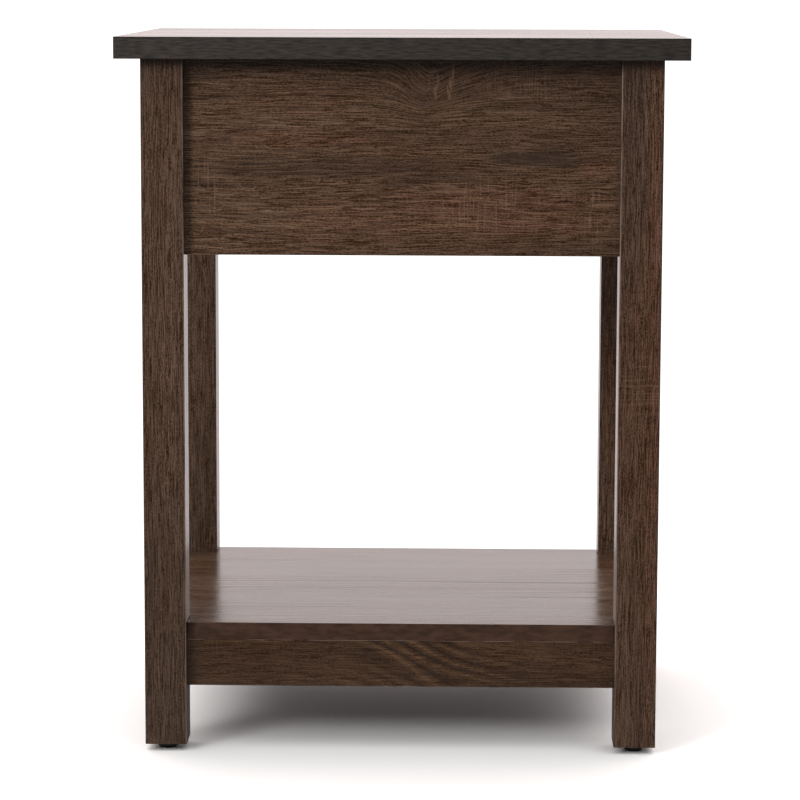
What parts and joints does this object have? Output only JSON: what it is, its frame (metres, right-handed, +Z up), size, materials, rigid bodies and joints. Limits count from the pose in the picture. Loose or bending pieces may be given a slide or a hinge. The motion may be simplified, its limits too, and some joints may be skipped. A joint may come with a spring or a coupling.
{
  "type": "nightstand",
  "caption": "Nightstand with square legs, one drawer on roller runners under an overhanging top, and an open lower shelf on rails.",
  "frame": {"origin": "on the floor, under the middle of the top", "axes": "+Z up; the drawer front faces -Y, and the plain back panel that the picture shows faces +Y; +X is the right-hand side seen from the drawer"},
  "size_m": [0.47, 0.4, 0.6],
  "materials": {
    "walnut_laminate": "satin dark walnut-oak wood-grain laminate on particle board",
    "edge_band": "smooth dark charcoal-brown edge band",
    "drawer_board": "plain dark-brown laminate",
    "hardboard": "thin dark-faced hardboard",
    "beech": "fluted beech",
    "runner_steel": "white epoxy-coated sheet steel",
    "nylon": "natural nylon",
    "plated_steel": "zinc-plated",
    "zinc": "die-cast zinc",
    "knob_metal": "brushed nickel",
    "black_plastic": "black moulded plastic"
  },
  "bodies": {
    "case": {"back_panel": "walnut_laminate", "cam_bolts": "plated_steel", "cam_locks": "zinc", "case_roller_pins": "plated_steel", "case_runner_left": "runner_steel", "case_runner_right": "runner_steel", "case_runner_screws": "plated_steel", "dowels": "beech", "foot_glides": "black_plastic", "glide_nails": "plated_steel", "leg_back_left": "walnut_laminate", "leg_back_right": "walnut_laminate", "leg_front_left": "walnut_laminate", "leg_front_right": "walnut_laminate", "lower_rail_back": "walnut_laminate", "lower_rail_front": "walnut_laminate", "lower_rail_left": "walnut_laminate", "lower_rail_right": "walnut_laminate", "shelf_band_back": "edge_band", "shelf_band_front": "edge_band", "shelf_band_left": "edge_band", "shelf_band_right": "edge_band", "shelf_board": "walnut_laminate", "side_panel_left": "walnut_laminate", "side_panel_right": "walnut_laminate", "top_band_back": "edge_band", "top_band_front": "edge_band", "top_band_left": "edge_band", "top_band_right": "edge_band", "top_board": "walnut_laminate"},
    "drawer": {"drawer_back": "drawer_board", "drawer_back_screws": "plated_steel", "drawer_bottom": "hardboard", "drawer_bottom_screws": "plated_steel", "drawer_cam_bolts": "plated_steel", "drawer_cam_locks": "zinc", "drawer_dowels": "beech", "drawer_front": "walnut_laminate", "drawer_knob": "knob_metal", "drawer_roller_pins": "plated_steel", "drawer_runner_left": "runner_steel", "drawer_runner_right": "runner_steel", "drawer_runner_screws": "plated_steel", "drawer_side_left": "drawer_board", "drawer_side_right": "drawer_board", "knob_screw": "plated_steel"},
    "case_roller_left": {"case_roller_left": "nylon"},
    "case_roller_right": {"case_roller_right": "nylon"},
    "drawer_roller_left": {"drawer_roller_left": "nylon"},
    "drawer_roller_right": {"drawer_roller_right": "nylon"}
  },
  "joints": [
    {"name": "drawer_slide", "type": "slide", "parent": "case", "child": "drawer", "axis": [0, -1, 0], "range_m": [0, 0.225]},
    {"name": "case_roller_left_spin", "type": "hinge", "parent": "case", "child": "case_roller_left", "pos_m": [-0.1755, -0.145, 0.4365], "axis": [1, 0, 0], "range_deg": [-1, 1290]},
    {"name": "drawer_roller_left_spin", "type": "hinge", "parent": "drawer", "child": "drawer_roller_left", "pos_m": [-0.172, 0.1325, 0.4365], "axis": [1, 0, 0], "range_deg": [-1, 1290]},
    {"name": "case_roller_right_spin", "type": "hinge", "parent": "case", "child": "case_roller_right", "pos_m": [0.1755, -0.145, 0.4365], "axis": [1, 0, 0], "range_deg": [-1, 1290]},
    {"name": "drawer_roller_right_spin", "type": "hinge", "parent": "drawer", "child": "drawer_roller_right", "pos_m": [0.172, 0.1325, 0.4365], "axis": [1, 0, 0], "range_deg": [-1, 1290]}
  ],
  "couplings": [
    {"joint": "case_roller_left_spin", "follows": "drawer_slide", "rad_per_m": 100},
    {"joint": "drawer_roller_left_spin", "follows": "drawer_slide", "rad_per_m": 100},
    {"joint": "case_roller_right_spin", "follows": "drawer_slide", "rad_per_m": 100},
    {"joint": "drawer_roller_right_spin", "follows": "drawer_slide", "rad_per_m": 100}
  ]
}
